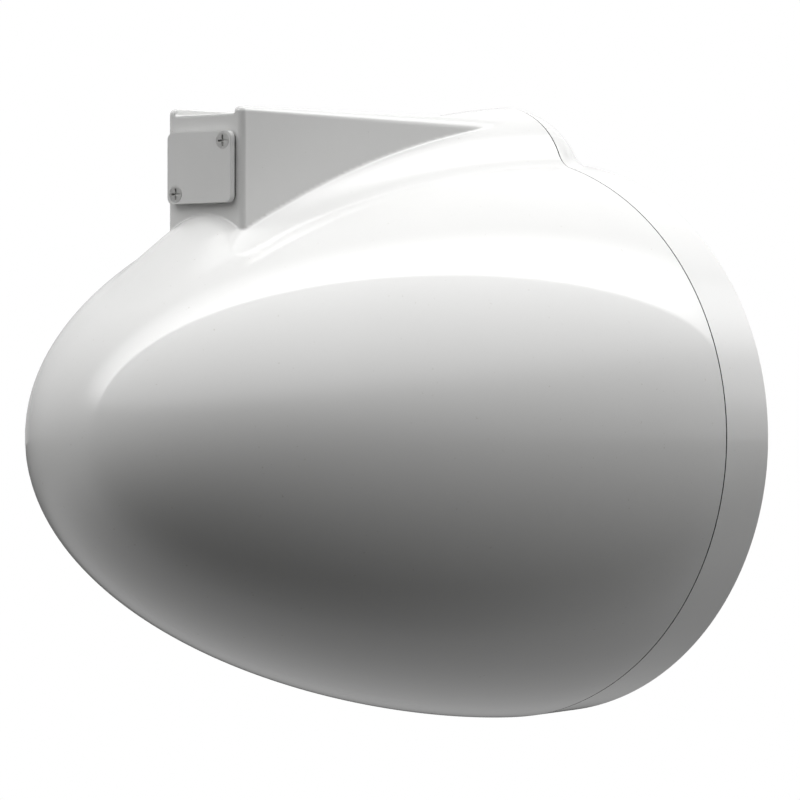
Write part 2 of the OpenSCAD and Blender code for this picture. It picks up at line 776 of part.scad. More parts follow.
module yoke() {
    web_x = -tilt_centre - tilt_motor_half - 2;
    color("lightsteelblue") place() translate([pivot_x, 0, 0]) difference() {
        union() {
            difference() {
                block(-yoke_d / 2, yoke_d / 2, -yoke_side, yoke_side, -yoke_top, yoke_top);
                block(-yoke_d, yoke_d, -yoke_w, yoke_w, -yoke_h, yoke_h);
            }
            block(-yoke_d / 2, yoke_d / 2, plate_web_y, plate_web_y + plate_web_t, -yoke_h - 1, yoke_h + 1);
            block(web_x, -yoke_d / 2 + eps, plate_web_y, plate_web_y + plate_web_t,
                -tilt_motor_half - 2, tilt_motor_half + 2);
        }
        for (s = [-1, 1]) rod_z(s < 0 ? -yoke_top - 1 : yoke_h - 1, s < 0 ? -yoke_h + 1 : yoke_top + 1, azimuth_pin_r);
        rod_y(-yoke_side - 1, -yoke_w + 1, tilt_pin_r + bush_wall);
        rod_y(yoke_w - 1, yoke_side + 1, tilt_pin_r + bush_wall);
        for (s = [-1, 1]) translate([0, s * gear_screw_y, 0]) rod_z(-yoke_top - 1, -yoke_top + yoke_bar - 1, m3[0]);
        translate([-tilt_centre, 0, 0]) rod_y(plate_web_y - 1, plate_web_y + plate_web_t + 1, tilt_shaft_r + 2);
        tilt_screw_spots() rod_y(plate_web_y - 1, plate_web_y + plate_web_t + 1, m3[0]);
    }
}

module azimuth_pins() {
    color("silver") place() translate([pivot_x, 0, 0]) for (s = [0, 1]) mirror([0, 0, s]) difference() {
        rod_z(yoke_h, pin_end, azimuth_pin_r);
        translate([0, 0, arm_out + seat_gap]) difference() {
            rod_z(0, 1, azimuth_pin_r + 1);
            rod_z(-1, 2, azimuth_pin_r - clip_groove);
        }
    }
}

module pin_clips() {
    color("gray") place() translate([pivot_x, 0, 0]) for (s = [0, 1]) mirror([0, 0, s])
        along_z(arm_out + seat_gap + 0.1, arm_out + seat_gap + 0.9) difference() {
            circle(r = azimuth_pin_r + 1.8);
            circle(r = azimuth_pin_r - clip_groove + snug);
            translate([0, -1.5]) square([2 * azimuth_pin_r, 3]);
        }
}

module tilt_bushes() {
    color("peru") place() translate([pivot_x, 0, 0]) for (s = [0, 1]) mirror([0, s, 0]) difference() {
        union() {
            rod_y(yoke_w, yoke_side, tilt_pin_r + bush_wall);
            rod_y(yoke_w - bush_flange_t, yoke_w, tilt_pin_r + bush_wall + 2);
        }
        rod_y(yoke_w - bush_flange_t - 1, yoke_side + 1, tilt_pin_r + running);
    }
}

module tilt_screw_spots() {
    for (sx = [-1, 1], sz = [-1, 1])
        translate([-tilt_centre + sx * (tilt_motor_half - 3.5), 0, sz * (tilt_motor_half - 3.5)]) children();
}

module tilt_motor() {
    color("dimgray") place() translate([pivot_x, 0, 0]) difference() {
        translate([-tilt_centre, 0, 0]) along_y(plate_web_y - tilt_motor_len, plate_web_y)
            rounded_rect(2 * tilt_motor_half, 2 * tilt_motor_half, 3);
        translate([-tilt_centre, 0, 0]) rod_y(plate_web_y - tilt_motor_len + 4, plate_web_y + 1, tilt_shaft_r + running);
        tilt_screw_spots() rod_y(plate_web_y - 6, plate_web_y + 1, m3[0]);
    }
}

module tilt_motor_screws() {
    color("silver") place() translate([pivot_x, 0, 0]) tilt_screw_spots()
        translate([0, plate_web_y + plate_web_t, 0]) rotate([0, 0, 90]) screw_x([m3[0], 2.6, 1.6], plate_web_t + 5);
}

// ---- Antenna ----

module antenna_plate() {
    x0 = antenna_off;
    x1 = antenna_off + antenna_t;
    slot_pitch = 22;
    color("whitesmoke") place() translate([pivot_x, 0, 0]) difference() {
        union() {
            rod_x(x0, x1, antenna_r - 1);
            rod_x(x0 + 1, x1 - 1, antenna_r);
        }
        for (row = [-3:3], col = [-3:3])
            if (norm([row, col]) * slot_pitch < antenna_r - 14)
                translate([0, col * slot_pitch + (row % 2) * 3, row * slot_pitch])
                    block(x1 - 1, x1 + 1, -7, 7, -1, 1);
        antenna_screw_spots() rod_x(x0 - 1, x0 + antenna_t - 2, m3[0]);
    }
}

module antenna_screw_spots() {
    for (sy = [-1, 1], sz = [-1, 1]) translate([0, sy * (ear_in - 6), sz * (bracket_h - 6)]) children();
}

module antenna_bracket() {
    color("lightgray") place() translate([pivot_x, 0, 0]) difference() {
        union() {
            block(antenna_off - bracket_t, antenna_off, -ear_out, ear_out, -bracket_h, bracket_h);
            for (s = [0, 1]) mirror([0, s, 0]) along_y(ear_in, ear_out) {
                circle(r = ear_r);
                translate([0, -ear_r]) square([antenna_off, 2 * ear_r]);
            }
        }
        rod_y(-ear_out - 1, ear_out + 1, tilt_pin_r);
        rod_x(antenna_off - bracket_t - 1, antenna_off + 1, 12);
        antenna_screw_spots() rod_x(antenna_off - bracket_t - 1, antenna_off + 1, m3[0] + 0.2);
    }
}

module antenna_screws() {
    color("silver") place() translate([pivot_x, 0, 0]) antenna_screw_spots()
        translate([antenna_off - bracket_t, 0, 0]) mirror([1, 0, 0]) screw_x(m3, bracket_t + antenna_t - 3);
}

module rf_module() {
    fins = 6;
    fin_pitch = 11;
    fin_t = 2;
    color("silver") place() translate([pivot_x, 0, 0]) {
        block(antenna_off - rf_d + 4, antenna_off, -rf_w / 2, rf_w / 2, rf_z0, rf_z0 + rf_h);
        for (i = [0:fins - 1])
            translate([0, (i - (fins - 1) / 2) * fin_pitch, 0])
                block(antenna_off - rf_d, antenna_off - rf_d + 4 + eps, -fin_t / 2, fin_t / 2, rf_z0, rf_z0 + rf_h);
    }
}

module tilt_pins() {
    color("silver") place() translate([pivot_x, 0, 0]) for (s = [0, 1]) mirror([0, s, 0])
        rod_y(tilt_gear_y, yoke_side + 1, tilt_pin_r);
}

module tilt_gear() {
    color("burlywood") place() translate([pivot_x, 0, 0]) difference() {
        along_y(tilt_gear_y, ear_in) sector(tilt_module, tilt_side_teeth, ear_r);
        rod_y(tilt_gear_y - 1, ear_in + 1, tilt_pin_r);
    }
}

module tilt_motor_shaft() {
    color("silver") place() translate([pivot_x - tilt_centre, 0, 0]) rod_y(plate_web_y - 10, ear_in, tilt_shaft_r);
}

module tilt_pinion() {
    color("goldenrod") place() translate([pivot_x - tilt_centre, 0, 0]) difference() {
        along_y(tilt_gear_y, ear_in) pinion_outline(tilt_module);
        rod_y(tilt_gear_y - 1, ear_in + 1, tilt_shaft_r);
    }
}

// ---- Electronics ----

module box_corners(inset) {
    for (sy = [-1, 1], sz = [0, 1])
        translate([0, sy * (box_w / 2 - inset), box_z0 + inset + sz * (box_h - 2 * inset)]) children();
}

module processor_box() {
    x0 = frame_x0 - box_depth;
    color("slategray") place() difference() {
        union() {
            difference() {
                block(x0, frame_x0, -box_w / 2, box_w / 2, box_z0, box_z0 + box_h);
                block(x0 - 1, frame_x0 - box_wall, -box_w / 2 + box_wall, box_w / 2 - box_wall,
                    box_z0 + box_wall, box_z0 + box_h - box_wall);
            }
            box_corners(box_wall + 2) rod_x(x0, frame_x0 - box_wall + 1, 3.5);
        }
        box_corners(box_wall + 2) rod_x(x0 - 1, x0 + lid_screw_grip + 1, m3[0]);
    }
}

board_spot = box_wall + board_margin + 3;

module board_standoffs() {
    x1 = frame_x0 - box_wall;
    color("silver") place() box_corners(board_spot) difference() {
        rod_x(x1 - standoff_h, x1, 3);
        rod_x(x1 - standoff_h - 1, x1 - 2, m3[0]);
    }
}

module processor_board() {
    x1 = frame_x0 - box_wall - standoff_h;
    half_w = box_w / 2 - box_wall - board_margin;
    color("darkgreen") place() {
        difference() {
            block(x1 - board_t, x1, -half_w, half_w, box_z0 + box_wall + board_margin,
                box_z0 + box_h - box_wall - board_margin);
            box_corners(board_spot) rod_x(x1 - board_t - 1, x1 + 1, m3[0] + 0.1);
        }
        block(x1 - board_t - 3, x1 - board_t, -12, 12, -18, 6);
        block(x1 - board_t - 6, x1 - board_t, 16, 26, -24, -4);
        for (i = [0:3]) block(x1 - board_t - 8, x1 - board_t, -26 + 9 * i, -20 + 9 * i, 12, 18);
    }
}

module board_screws() {
    x1 = frame_x0 - box_wall - standoff_h - board_t;
    color("silver") place() box_corners(board_spot) translate([x1, 0, 0]) mirror([1, 0, 0]) screw_x(m3, board_t + 5);
}

module processor_lid() {
    x1 = frame_x0 - box_depth;
    color("slategray") place() difference() {
        block(x1 - lid_t, x1, -box_w / 2, box_w / 2, box_z0, box_z0 + box_h);
        box_corners(box_wall + 2) rod_x(x1 - lid_t - 1, x1 + 1, m3[0] + 0.2);
    }
}

lid_screw_grip = 8;

module lid_screws() {
    x1 = frame_x0 - box_depth - lid_t;
    color("silver") place() box_corners(box_wall + 2) translate([x1, 0, 0]) mirror([1, 0, 0])
        screw_x(m3, lid_t + lid_screw_grip);
}

module power_supply() {
    color("lightslategray") place() {
        block(frame_x0 - supply_d, frame_x0, -frame_w / 2, frame_w / 2, supply_z0, supply_z0 + supply_h);
    }
}

module desiccant_pack() {
    x1 = frame_x0 - box_depth - lid_t;
    color("ivory") place() block(x1 - 7, x1, -20, 20, -20, 10);
}

rear_shell();
front_radome();
seam_gasket();
cover_plate();
plate_gasket();
plate_screws();
mount_inserts();
cable_grommet();
mount_block();
block_bolts();
spine_plate();
chassis_ring();
ring_screws();
shell_screws();
radome_clips();
clip_screws();
terminal_block();
main_harness();
scanner_frame();
frame_screws();
azimuth_bearings();
azimuth_motor();
azimuth_motor_screws();
processor_box();
processor_board();
board_standoffs();
board_screws();
processor_lid();
lid_screws();
power_supply();
desiccant_pack();
yoke();
azimuth_gear();
gear_screws();
azimuth_pins();
pin_clips();
tilt_bushes();
tilt_motor();
tilt_motor_screws();
antenna_plate();
antenna_bracket();
antenna_screws();
rf_module();
tilt_pins();
tilt_gear();
azimuth_motor_shaft();
azimuth_pinion();
tilt_motor_shaft();
tilt_pinion();
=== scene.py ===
"""Hanging radar pod: looks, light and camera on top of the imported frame.

The two glossy skins are rebuilt as smooth surfaces from the same formulas as the solids, with real fillets.
Lengths in the formulas are millimetres in the pod's own frame (X = 0 at the seam, X axis = pod axis).
"""
import json
import math

import bmesh
import bpy
import numpy as np
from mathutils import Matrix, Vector


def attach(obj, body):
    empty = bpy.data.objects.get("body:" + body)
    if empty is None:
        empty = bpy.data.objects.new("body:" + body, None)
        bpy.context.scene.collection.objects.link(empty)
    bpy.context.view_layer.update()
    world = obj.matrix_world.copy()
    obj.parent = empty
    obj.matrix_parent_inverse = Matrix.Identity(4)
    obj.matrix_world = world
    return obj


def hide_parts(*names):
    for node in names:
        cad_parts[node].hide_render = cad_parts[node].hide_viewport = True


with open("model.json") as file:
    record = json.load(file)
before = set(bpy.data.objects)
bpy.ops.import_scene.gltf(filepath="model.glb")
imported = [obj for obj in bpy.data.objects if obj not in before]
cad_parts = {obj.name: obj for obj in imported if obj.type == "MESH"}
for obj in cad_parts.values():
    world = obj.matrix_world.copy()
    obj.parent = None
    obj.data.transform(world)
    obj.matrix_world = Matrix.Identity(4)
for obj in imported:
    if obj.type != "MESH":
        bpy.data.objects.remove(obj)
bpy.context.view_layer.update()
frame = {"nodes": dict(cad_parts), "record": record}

# ---------------------------------------------------------------- sizes (mm)
SHELL_R, TAIL_LEN, FULLNESS, ROUNDNESS = 154.0, 341.0, 1.67, 2.11
SEAM = 0.45  # half the width of the joint line
BAND_LEN, FRONT_R, FACE_RISE = 40.5, 152.2, 14.0
HUMP_R, HUMP_Z, HUMP_SLOPE = 43.3, 137.5, math.radians(5.5)
BEND_R, TURN, TAIL_R, TAIL_TURN = 660.0, math.radians(25.5), 120.0, math.radians(60.5)
ARM_W, ARM_BACK, FLOOR_Z, SLOT_W = 52.0, 242.0, 166.0, 41.0
CHEEK_Z, CHEEK_RISE = 169.6, math.tan(math.radians(1.13))
ARM_CORNER, EDGE_REAR, EDGE_FRONT, ARM_FRONT, ARM_ROOT = 3.3, 3.0, 9.5, 20.0, 98.0
HUMP_FILLET, ARM_FILLET, SLOT_EDGE, FACE_EDGE, NOSE_FILLET = 5.0, 0.7, 0.8, 1.4, 4.5
WALL = 2.5
PAD = np.array([-168.0, 0.0, 166.0])  # the row frame's origin, seen from the pod's frame
MM = 0.001  # a millimetre, in the row frame's metres


def to_row(points):
    return (np.asarray(points, float) - PAD) * MM


# ---------------------------------------------------------------- fields: negative inside
def round_union(a, b, r):
    u = np.maximum(r - a, 0.0)
    v = np.maximum(r - b, 0.0)
    return np.maximum(np.minimum(a, b), r) - np.sqrt(u * u + v * v)


def round_cut(a, b, r):
    """The intersection of a and b, with its edge rounded to r."""
    u = np.maximum(a + r, 0.0)
    v = np.maximum(b + r, 0.0)
    return np.minimum(np.maximum(a, b), -r) + np.sqrt(u * u + v * v)


def egg(x, y, z):
    along = np.maximum(-x, 0.0) / TAIL_LEN
    across = np.sqrt(y * y + z * z) / SHELL_R
    value = along**FULLNESS + across**ROUNDNESS - 1.0
    slope_x = FULLNESS / TAIL_LEN * along ** (FULLNESS - 1.0)
    slope_r = ROUNDNESS / SHELL_R * across ** (ROUNDNESS - 1.0)
    return value / np.sqrt(slope_x**2 + slope_r**2 + 1e-7)  # the last term keeps it from 0 at the middle


def hump(x, y, z):
    cx = BEND_R * math.sin(HUMP_SLOPE)
    cz = HUMP_Z - BEND_R * math.cos(HUMP_SLOPE)
    tx = cx - (BEND_R - TAIL_R) * math.sin(TURN)
    tz = cz + (BEND_R - TAIL_R) * math.cos(TURN)
    main = np.sqrt((np.hypot(x - cx, z - cz) - BEND_R) ** 2 + y * y)
    tail = np.sqrt((np.hypot(x - tx, z - tz) - TAIL_R) ** 2 + y * y)
    behind = -(x - cx) * math.cos(TURN) - (z - cz) * math.sin(TURN) > 0
    ex = tx - TAIL_R * math.sin(TAIL_TURN)
    ez = tz + TAIL_R * math.cos(TAIL_TURN)
    past = -(x - tx) * math.cos(TAIL_TURN) - (z - tz) * math.sin(TAIL_TURN) > 0
    end = np.sqrt((x - ex) ** 2 + y * y + (z - ez) ** 2)
    tail = np.where(past, end, tail)
    return np.where(behind, tail, main) - HUMP_R


def arm(x, y, z):
    side = np.abs(y) - (ARM_W / 2 - ARM_CORNER)
    back = (-ARM_BACK + ARM_CORNER) - x
    plan = np.sqrt(np.maximum(side, 0.0) ** 2 + np.maximum(back, 0.0) ** 2)
    plan = plan + np.minimum(np.maximum(side, back), 0.0) - ARM_CORNER
    top = z - (CHEEK_Z + (x + ARM_BACK) * CHEEK_RISE)
    share = np.clip((x + ARM_BACK) / (ARM_BACK - ARM_FRONT), 0.0, 1.0)
    block = round_cut(plan, top, EDGE_REAR + share * (EDGE_FRONT - EDGE_REAR))
    block = np.maximum(block, ARM_ROOT - z)
    slot = round_cut(np.abs(y) - SLOT_W / 2, FLOOR_Z - z, SLOT_EDGE)
    return round_cut(block, -slot, SLOT_EDGE)


def casing_field(x, y, z):
    body = round_union(egg(x, y, z), hump(x, y, z), HUMP_FILLET)
    return round_union(body, arm(x, y, z), ARM_FILLET)


FACE_R = (FRONT_R**2 + FACE_RISE**2) / (2 * FACE_RISE)
FACE_X = BAND_LEN + FACE_RISE - FACE_R


def radome_field(x, y, z):
    slope = (SHELL_R - FRONT_R) / BAND_LEN
    band = (np.hypot(y, z) - SHELL_R + slope * x) / math.hypot(1.0, slope)
    face = np.sqrt((x - FACE_X) ** 2 + y * y + z * z) - FACE_R
    nose = np.sqrt(x * x + y * y + (z - HUMP_Z) ** 2) - HUMP_R
    return round_union(round_cut(band, face, FACE_EDGE), nose, NOSE_FILLET)


def slope_of(field, p, h=0.02):
    """The field's gradient at points, by differences over h to either side."""
    g = np.empty_like(p)
    for k in range(3):
        d = np.zeros(3)
        d[k] = h
        g[:, k] = field(*(p + d).T) - field(*(p - d).T)
    return g / (2 * h)


def settle(field, p, rounds=6, longest=1.5):
    """Moves points onto the field's zero surface, no more than the longest step a round."""
    for _ in range(rounds):
        g = slope_of(field, p)
        size = np.maximum((g * g).sum(1), 1e-3)
        step = (field(*p.T) / size)[:, None] * g
        length = np.linalg.norm(step, axis=1, keepdims=True)
        p = p - step * np.minimum(1.0, longest / np.maximum(length, 1e-9))
    return p


# ---------------------------------------------------------------- surface from a field
def stations(*runs):
    """Grid lines for runs of (from, to, step)."""
    parts = [np.linspace(a, b, max(1, round((b - a) / step)), endpoint=False) for a, b, step in runs]
    return np.append(np.concatenate(parts), runs[-1][1])


def skin_from_field(field, xs, ys, zs):
    """Quads round the zero surface: one vertex in each grid cell that it crosses."""
    values = field(xs[:, None, None], ys[None, :, None], zs[None, None, :]).astype(np.float32)
    inside = values < 0
    shape = tuple(n - 1 for n in values.shape)
    total = np.zeros(shape + (3,), np.float32)
    count = np.zeros(shape, np.int16)
    grids = (xs, ys, zs)
    for axis in range(3):
        low = [slice(None)] * 3
        high = [slice(None)] * 3
        low[axis], high[axis] = slice(0, -1), slice(1, None)
        a, b = values[tuple(low)], values[tuple(high)]
        cross = (a < 0) != (b < 0)
        t = np.where(cross, a / np.where(cross, a - b, 1.0), 0.0)
        start = grids[axis][:-1].reshape([-1 if k == axis else 1 for k in range(3)])
        width = np.diff(grids[axis]).reshape([-1 if k == axis else 1 for k in range(3)])
        place = [None, None, None]
        for k in range(3):
            g = grids[k].reshape([-1 if j == k else 1 for j in range(3)])
            place[k] = start + t * width if k == axis else np.broadcast_to(g, cross.shape)
        others = [k for k in range(3) if k != axis]
        for da in (0, 1):
            for db in (0, 1):
                pick = [slice(None)] * 3
                for k, d in zip(others, (da, db)):
                    pick[k] = slice(d, shape[k] + d)
                pick = tuple(pick)
                c = cross[pick]
                count += c
                for k in range(3):
                    total[..., k] += np.where(c, place[k][pick], 0.0)
    used = count > 0
    index = np.full(shape, -1, np.int64)
    index[used] = np.arange(used.sum())
    points = total[used].astype(float) / count[used][:, None]
    quads = []
    for axis in range(3):
        o1, o2 = (axis + 1) % 3, (axis + 2) % 3
        low = [slice(1, -1)] * 3
        high = [slice(1, -1)] * 3
        low[axis], high[axis] = slice(0, -1), slice(1, None)
        a, b = inside[tuple(low)], inside[tuple(high)]
        for flip, where in ((False, a & ~b), (True, ~a & b)):
            cell = np.argwhere(where)
            cell[:, o1] += 1
            cell[:, o2] += 1
            corners = []
            for d1, d2 in ((-1, -1), (0, -1), (0, 0), (-1, 0)):
                c = cell.copy()
                c[:, o1] += d1
                c[:, o2] += d2
                corners.append(index[c[:, 0], c[:, 1], c[:, 2]])
            q = np.stack(corners, 1)
            quads.append(q[:, ::-1] if flip else q)
    return points, np.concatenate(quads)


def add_object(name, mesh):
    obj = bpy.data.objects.new(name, mesh)
    bpy.context.scene.collection.objects.link(obj)
    return obj


def thicken(mesh, name, thickness):
    """The skin as a shell, with its modifier applied."""
    obj = add_object(name + "_draft", mesh)
    m = obj.modifiers.new("wall", "SOLIDIFY")
    m.thickness = thickness
    m.offset = -1
    m.use_rim = True
    deps = bpy.context.evaluated_depsgraph_get()
    done = bpy.data.meshes.new_from_object(obj.evaluated_get(deps))
    bpy.data.objects.remove(obj)
    done.name = name
    return add_object(name, done)


def true_normals(obj, field, skin=0.08, facing=0.6):
    """Normals from the field on the outer skin, and flat ones on the rims and the inside.

    A corner is on the skin within that many mm, if its face looks roughly the field's way.
    """
    mesh = obj.data
    count = len(mesh.vertices)
    co = np.empty(count * 3)
    mesh.vertices.foreach_get("co", co)
    p = co.reshape(-1, 3) / MM + PAD
    g = slope_of(field, p)
    g /= np.maximum(np.linalg.norm(g, axis=1, keepdims=True), 1e-9)
    on_skin = np.abs(field(*p.T)) < skin
    loops = np.empty(len(mesh.loops), np.int64)
    mesh.loops.foreach_get("vertex_index", loops)
    face_n = np.empty(len(mesh.polygons) * 3)
    mesh.polygons.foreach_get("normal", face_n)
    size = np.empty(len(mesh.polygons), np.int64)
    mesh.polygons.foreach_get("loop_total", size)
    flat = np.repeat(face_n.reshape(-1, 3), size, axis=0)
    smooth = g[loops]
    good = on_skin[loops] & ((smooth * flat).sum(1) > facing)
    mesh.polygons.foreach_set("use_smooth", np.ones(len(mesh.polygons), bool))
    mesh.normals_split_custom_set(np.where(good[:, None], smooth, flat))
    mesh.update()


# ---------------------------------------------------------------- casing
# Each run is (from, to, step): fine where the arm and its fillets are, coarse elsewhere
half_y = stations((0, 18, 2), (18, 27.5, 0.8), (27.5, 50, 3.2), (50, 120, 6), (120, 158, 3.8))
casing_y = np.concatenate([-half_y[:0:-1], half_y])
casing_x = stations((-345, -300, 4.5), (-300, -247, 5.3), (-247, -236, 1), (-236, -60, 2.1), (-60, 3, 4.5))
casing_z = stations((-158, -120, 3.8), (-120, 60, 7.5), (60, 100, 4),
                    (100, 163, 1.6), (163, 176, 0.9), (176, 186, 1.7))
points, quads = skin_from_field(casing_field, casing_x, casing_y, casing_z)
points = settle(casing_field, points)

mesh = bpy.data.meshes.new("casing_skin")
mesh.from_pydata(to_row(points).tolist(), [], quads.tolist())
bm = bmesh.new()
bm.from_mesh(mesh)
bmesh.ops.bisect_plane(
    bm, geom=bm.verts[:] + bm.edges[:] + bm.faces[:], dist=1e-6,
    plane_co=((-SEAM - PAD[0]) * MM, 0, 0), plane_no=(1, 0, 0), clear_outer=True,
)
# The holes in the slot's floor, in metres
BOLT_X, BOLT_Y, BOLT_R, CABLE_R = 0.040, 0.012, 0.00505, 0.0075
FACE_ON_FLOOR, EDGE_ON_FLOOR = 5e-4, 1e-3  # how far off the floor's height they still count as on it
RAGGED = 1.5  # how far out a hole's cut edge may lie, as a share of its radius
HOLES = [(sx * BOLT_X, sy * BOLT_Y, BOLT_R) for sx in (-1, 1) for sy in (-1, 1)] + [(0.0, 0.0, CABLE_R)]
for hx, hy, hr in HOLES:
    gone = []
    for face in bm.faces:
        middle = face.calc_center_median()
        if abs(middle.z) < FACE_ON_FLOOR and math.hypot(middle.x - hx, middle.y - hy) < hr:
            gone.append(face)
    bmesh.ops.delete(bm, geom=gone, context="FACES")
    for v in bm.verts:  # the ragged edge left is drawn onto the hole's circle
        d = Vector((v.co.x - hx, v.co.y - hy))
        if v.is_boundary and abs(v.co.z) < EDGE_ON_FLOOR and d.length < hr * RAGGED:
            d = d.normalized() * hr
            v.co = (hx + d.x, hy + d.y, 0.0)
bm.to_mesh(mesh)
bm.free()
casing = thicken(mesh, "casing_skin", WALL * MM)
true_normals(casing, casing_field)
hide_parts("rear_shell")
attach(casing, "pod")

# ---------------------------------------------------------------- radome
# Rays from the seam's centre, in degrees: closest together round the nose and the face's rounded edge
around = np.radians(np.concatenate([np.arange(-24, 24, 0.6), np.arange(24, 336, 2.0)])) + math.pi / 2
tilt = np.radians(np.concatenate([
    np.linspace(90, 76.2, 12, endpoint=False), np.linspace(76.2, 74.2, 18, endpoint=False),
    np.linspace(74.2, 64, 18, endpoint=False), np.linspace(64, 3, 24),
]))
T, A = np.meshgrid(tilt, around, indexing="ij")
rays = np.stack([np.cos(T), np.sin(T) * np.cos(A), np.sin(T) * np.sin(A)], -1).reshape(-1, 3)
start = np.array([SEAM, 0.0, 0.0])
SURELY_INSIDE, SURELY_OUTSIDE = 30.0, 230.0  # along each ray, in mm: the surface lies between them
HALVINGS = 40
near, far = np.full(len(rays), SURELY_INSIDE), np.full(len(rays), SURELY_OUTSIDE)
for _ in range(HALVINGS):
    middle = (near + far) / 2
    out = radome_field(*(start + rays * middle[:, None]).T) > 0
    far = np.where(out, middle, far)
    near = np.where(out, near, middle)
points = start + rays * near[:, None]
tip = np.array([[BAND_LEN + FACE_RISE, 0.0, 0.0]])
rows, cols = T.shape
faces = []
for i in range(rows - 1):
    for j in range(cols):
        k = (j + 1) % cols
        faces.append((i * cols + j, i * cols + k, (i + 1) * cols + k, (i + 1) * cols + j))
for j in range(cols):
    faces.append(((rows - 1) * cols + j, (rows - 1) * cols + (j + 1) % cols, rows * cols))
mesh = bpy.data.meshes.new("radome_skin")
mesh.from_pydata(to_row(np.concatenate([points, tip])).tolist(), [], faces)
radome = thicken(mesh, "radome_skin", WALL * MM)
true_normals(radome, radome_field)
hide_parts("front_radome")
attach(radome, "pod")


# ---------------------------------------------------------------- node helpers, which take and return sockets
def put(tree, value, socket):
    """Sets a socket to a number, or links another socket to it."""
    if isinstance(value, float):
        socket.default_value = value
    else:
        tree.links.new(value, socket)


def combine(tree, operation, first, second):
    """Two values put together by a math operation."""
    node = tree.nodes.new("ShaderNodeMath")
    node.operation = operation
    put(tree, first, node.inputs[0])
    put(tree, second, node.inputs[1])
    return node.outputs[0]


def lift(tree, source, low, high, at_low, at_high, interpolation="LINEAR"):
    """A value that runs from at_low to at_high as the source goes from low to high."""
    node = tree.nodes.new("ShaderNodeMapRange")
    node.interpolation_type = interpolation
    node.inputs["From Min"].default_value = low
    node.inputs["From Max"].default_value = high
    node.inputs["To Min"].default_value = at_low
    node.inputs["To Max"].default_value = at_high
    tree.links.new(source, node.inputs["Value"])
    return node.outputs["Result"]


def mix_values(tree, factor, first, second):
    """The first value where the factor is 0, and the second where it is 1."""
    node = tree.nodes.new("ShaderNodeMix")
    node.data_type = "FLOAT"
    put(tree, factor, node.inputs[0])
    put(tree, first, node.inputs[2])
    put(tree, second, node.inputs[3])
    return node.outputs[0]


def mix_shaders(tree, factor, first, second):
    """The first shader where the factor is 0, and the second where it is 1."""
    node = tree.nodes.new("ShaderNodeMixShader")
    for socket, source in zip(node.inputs, (factor, first, second)):
        tree.links.new(source, socket)
    return node.outputs[0]


def new_material(name):
    material = bpy.data.materials.new(name)
    material.use_nodes = True
    tree = material.node_tree
    shader = tree.nodes["Principled BSDF"]
    return material, tree, shader


# ---------------------------------------------------------------- materials
def noise(tree, scale, detail, roughness, stretch=None):
    coords = tree.nodes.new("ShaderNodeTexCoord")
    texture = tree.nodes.new("ShaderNodeTexNoise")
    texture.inputs["Scale"].default_value = scale
    texture.inputs["Detail"].default_value = detail
    texture.inputs["Roughness"].default_value = roughness
    if stretch:
        mapping = tree.nodes.new("ShaderNodeMapping")
        mapping.inputs["Scale"].default_value = stretch
        tree.links.new(coords.outputs["Object"], mapping.inputs["Vector"])
        tree.links.new(mapping.outputs["Vector"], texture.inputs["Vector"])
    else:
        tree.links.new(coords.outputs["Object"], texture.inputs["Vector"])
    return texture.outputs["Fac"]


def ramp(tree, source, low, high):
    """A colour that runs between two stops, each a place and a colour."""
    node = tree.nodes.new("ShaderNodeValToRGB")
    for element, (place, colour) in zip(node.color_ramp.elements, (low, high)):
        element.position, element.color = place, tuple(colour) + (1,)
    tree.links.new(source, node.inputs["Fac"])
    return node.outputs["Color"]


def grain(tree, shader, texture, strength, distance, edge=None):
    """Fine bump, over edges softened to a radius where one is given."""
    bump = tree.nodes.new("ShaderNodeBump")
    bump.inputs["Strength"].default_value = strength
    bump.inputs["Distance"].default_value = distance
    tree.links.new(texture, bump.inputs["Height"])
    if edge:
        soft = tree.nodes.new("ShaderNodeBevel")
        soft.samples = 4
        soft.inputs["Radius"].default_value = edge
        tree.links.new(soft.outputs["Normal"], bump.inputs["Normal"])
    tree.links.new(bump.outputs["Normal"], shader.inputs["Normal"])


ROUGH_SPREAD = 0.08  # to either side of a finish's roughness
GRAIN_SCALE = 14  # how much finer the grain is than the mottle
LOW_STOP, HIGH_STOP = 0.3, 0.7  # noise keeps mostly between these


def finish_material(name, colour, rough, metal=0.0, spread=0.06, scale=60.0, bump=0.15, depth=0.0002,
                    stretch=None, edge=0.0004, coat=0.0, coat_rough=0.05):
    """A procedural finish: colour mottled by noise, roughness that varies with it, grain, softened edges."""
    material, tree, shader = new_material(name)
    pattern = noise(tree, scale, detail=4.0, roughness=0.55, stretch=stretch)
    dark = [max(0.0, c * (1 - spread)) for c in colour]
    light = [min(1.0, c * (1 + spread)) for c in colour]
    tree.links.new(ramp(tree, pattern, (LOW_STOP, dark), (HIGH_STOP, light)), shader.inputs["Base Color"])
    smoothest, roughest = max(0.02, rough - ROUGH_SPREAD), min(1.0, rough + ROUGH_SPREAD)
    tree.links.new(lift(tree, pattern, 0.0, 1.0, smoothest, roughest), shader.inputs["Roughness"])
    shader.inputs["Metallic"].default_value = metal
    shader.inputs["Coat Weight"].default_value = coat
    shader.inputs["Coat Roughness"].default_value = coat_rough
    fine = noise(tree, scale * GRAIN_SCALE, detail=3.0, roughness=0.6, stretch=stretch)
    grain(tree, shader, fine, bump, depth, edge)
    return material


UNEVEN = 0.965  # the darkest mottle of the gelcoat, as a share of its colour
SPECK = (0.86, 0.85, 0.83)  # the tint of a dust speck
SPECK_FULL, SPECK_GONE = 0.22, 0.27  # the noise at which a speck is full, and gone
SMOOTHEST, ROUGHEST = 0.28, 0.40  # the white under the clear surface


